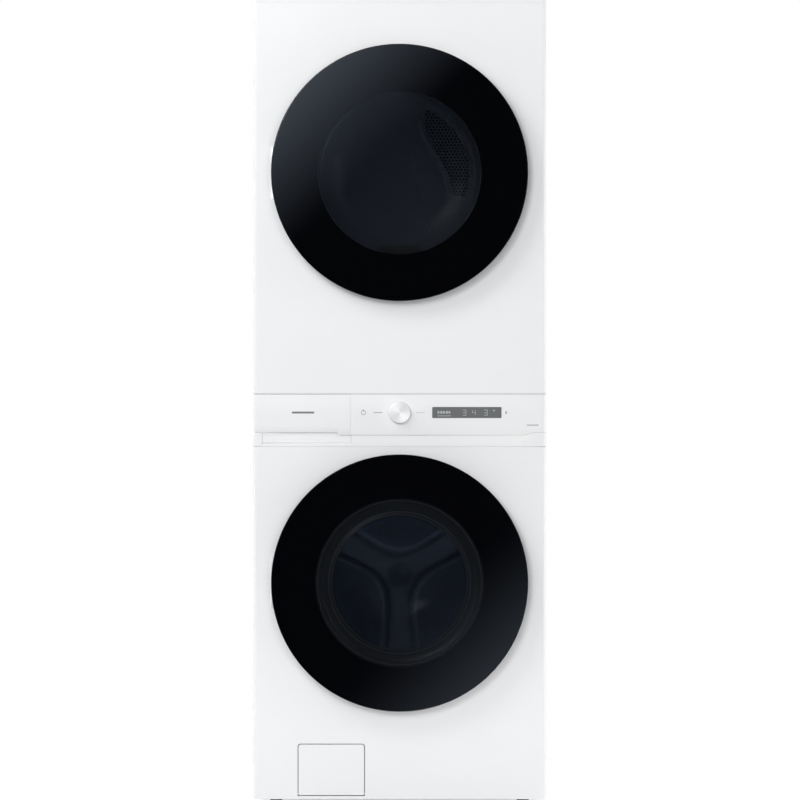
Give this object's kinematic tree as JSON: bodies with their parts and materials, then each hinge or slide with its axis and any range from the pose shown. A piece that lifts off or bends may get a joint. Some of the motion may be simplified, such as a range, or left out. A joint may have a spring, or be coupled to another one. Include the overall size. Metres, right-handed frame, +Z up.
{
  "type": "washer dryer stack",
  "caption": "Tall white laundry tower: front-loading washer below, dryer above, round dark glass doors on left hinges, a control strip with knob, display and drawer between them",
  "frame": {"origin": "on the floor under the middle of the whole object's box", "axes": "+Z up, the front with the doors faces -Y, +X to the right as seen from the front"},
  "size_m": [0.686, 0.825, 1.897],
  "materials": {
    "white_paint": "satin white enamel",
    "white_plastic": "satin white moulding",
    "tinted_glass": "near-black tinted glass",
    "clear_glass": "clear pressed glass",
    "black_plastic": "black moulding",
    "grey_plastic": "grey moulding",
    "stainless": "brushed stainless steel",
    "zinc_steel": "zinc plated sheet steel",
    "rubber": "grey rubber",
    "cast_block": "rough cast block",
    "copper": "copper windings"
  },
  "bodies": {
    "cabinet": {"side_panel_left": "white_paint", "side_panel_right": "white_paint", "washer_front_panel": "white_paint", "dryer_front_panel": "white_paint", "top_cover": "white_paint", "control_fascia": "white_plastic", "water_valve": "white_plastic", "display_lens": "tinted_glass", "washer_door_lock": "black_plastic", "drive_belt": "black_plastic", "dispenser_housing": "grey_plastic", "drain_pump": "grey_plastic", "washer_tub": "grey_plastic", "inlet_grille": "grey_plastic", "drum_bearing": "stainless", "base_frame": "zinc_steel", "washer_back_panel": "zinc_steel", "dryer_back_panel": "zinc_steel", "middle_deck": "zinc_steel", "washer_hinge_bracket": "zinc_steel", "dryer_hinge_bracket": "zinc_steel", "suspension_spring_left": "zinc_steel", "suspension_spring_right": "zinc_steel", "shock_absorber_left": "zinc_steel", "shock_absorber_right": "zinc_steel", "front_bulkhead": "zinc_steel", "rear_bulkhead": "zinc_steel", "drive_motor": "zinc_steel", "blower_housing": "zinc_steel", "door_gasket": "rubber", "counterweight": "cast_block", "motor_stator": "copper"},
    "washer_door": {"washer_door_frame": "black_plastic", "washer_door_lens": "tinted_glass", "washer_door_bowl": "clear_glass", "washer_hinge_leaf": "zinc_steel", "washer_door_hook": "zinc_steel"},
    "dryer_door": {"dryer_door_frame": "black_plastic", "dryer_door_lens": "tinted_glass", "dryer_door_window": "clear_glass", "dryer_hinge_leaf": "zinc_steel", "dryer_door_hook": "zinc_steel"},
    "detergent_drawer": {"drawer_front": "white_plastic", "drawer_tray": "grey_plastic"},
    "knob": {"cycle_knob": "white_plastic"},
    "flap": {"service_flap": "white_paint"},
    "filter_cap": {"pump_filter_cap": "black_plastic"},
    "wash_drum": {"washer_drum": "stainless", "drum_spider": "zinc_steel", "motor_rotor": "zinc_steel"},
    "dry_drum": {"dryer_drum": "stainless"},
    "motor_shaft": {"blower_wheel": "zinc_steel"},
    "idler": {"idler_pulley": "black_plastic"},
    "roller_left": {"drum_roller_left": "rubber"},
    "roller_right": {"drum_roller_right": "rubber"},
    "filter": {"lint_filter": "grey_plastic"},
    "foot_fl": {"foot_front_left": "rubber"},
    "foot_fr": {"foot_front_right": "rubber"},
    "foot_bl": {"foot_back_left": "rubber"},
    "foot_br": {"foot_back_right": "rubber"}
  },
  "joints": [
    {"name": "washer_door_hinge", "type": "hinge", "parent": "cabinet", "child": "washer_door", "pos_m": [-0.29, -0.3965, 0.5334], "axis": [0, 0, -1], "range_deg": [0, 130]},
    {"name": "dryer_door_hinge", "type": "hinge", "parent": "cabinet", "child": "dryer_door", "pos_m": [-0.29, -0.3965, 1.4914], "axis": [0, 0, -1], "range_deg": [0, 130]},
    {"name": "drawer_slide", "type": "slide", "parent": "cabinet", "child": "detergent_drawer", "axis": [0, -1, 0], "range_m": [0, 0.25]},
    {"name": "knob_turn", "type": "hinge", "parent": "cabinet", "child": "knob", "pos_m": [0, -0.3725, 0.931], "axis": [0, 1, 0], "continuous": true},
    {"name": "flap_hinge", "type": "hinge", "parent": "cabinet", "child": "flap", "pos_m": [-0.1598, -0.358, 0.0385], "axis": [1, 0, 0], "range_deg": [0, 90]},
    {"name": "filter_cap_turn", "type": "hinge", "parent": "cabinet", "child": "filter_cap", "pos_m": [-0.16, -0.3125, 0.095], "axis": [0, -1, 0], "continuous": true},
    {"name": "wash_drum_spin", "type": "hinge", "parent": "cabinet", "child": "wash_drum", "pos_m": [0, -0.0025, 0.5334], "axis": [0, 1, 0], "continuous": true},
    {"name": "dry_drum_spin", "type": "hinge", "parent": "cabinet", "child": "dry_drum", "pos_m": [0, 0.0245, 1.4914], "axis": [0, 1, 0], "continuous": true},
    {"name": "motor_shaft_spin", "type": "hinge", "parent": "cabinet", "child": "motor_shaft", "pos_m": [0.06, -0.1625, 1.065], "axis": [0, 1, 0], "continuous": true},
    {"name": "idler_spin", "type": "hinge", "parent": "cabinet", "child": "idler", "pos_m": [0.19, -0.0565, 1.1], "axis": [0, 1, 0], "continuous": true},
    {"name": "roller_left_spin", "type": "hinge", "parent": "cabinet", "child": "roller_left", "pos_m": [-0.1719, -0.2575, 1.19366], "axis": [0, 1, 0], "continuous": true},
    {"name": "roller_right_spin", "type": "hinge", "parent": "cabinet", "child": "roller_right", "pos_m": [0.1719, -0.2575, 1.19366], "axis": [0, 1, 0], "continuous": true},
    {"name": "filter_lift", "type": "slide", "parent": "cabinet", "child": "filter", "axis": [0, 0, 1], "range_m": [0, 0.15]},
    {"name": "foot_fl_turn", "type": "hinge", "parent": "cabinet", "child": "foot_fl", "pos_m": [-0.29, -0.3025, 0.03], "axis": [0, 0, 1], "continuous": true},
    {"name": "foot_fr_turn", "type": "hinge", "parent": "cabinet", "child": "foot_fr", "pos_m": [0.29, -0.3025, 0.03], "axis": [0, 0, 1], "continuous": true},
    {"name": "foot_bl_turn", "type": "hinge", "parent": "cabinet", "child": "foot_bl", "pos_m": [-0.29, 0.3375, 0.03], "axis": [0, 0, 1], "continuous": true},
    {"name": "foot_br_turn", "type": "hinge", "parent": "cabinet", "child": "foot_br", "pos_m": [0.29, 0.3375, 0.03], "axis": [0, 0, 1], "continuous": true}
  ],
  "couplings": [
    {"joint": "motor_shaft_spin", "follows": "dry_drum_spin", "ratio": 26.5},
    {"joint": "idler_spin", "follows": "dry_drum_spin", "ratio": 15.9},
    {"joint": "roller_left_spin", "follows": "dry_drum_spin", "ratio": -12.72},
    {"joint": "roller_right_spin", "follows": "dry_drum_spin", "ratio": -12.72}
  ]
}
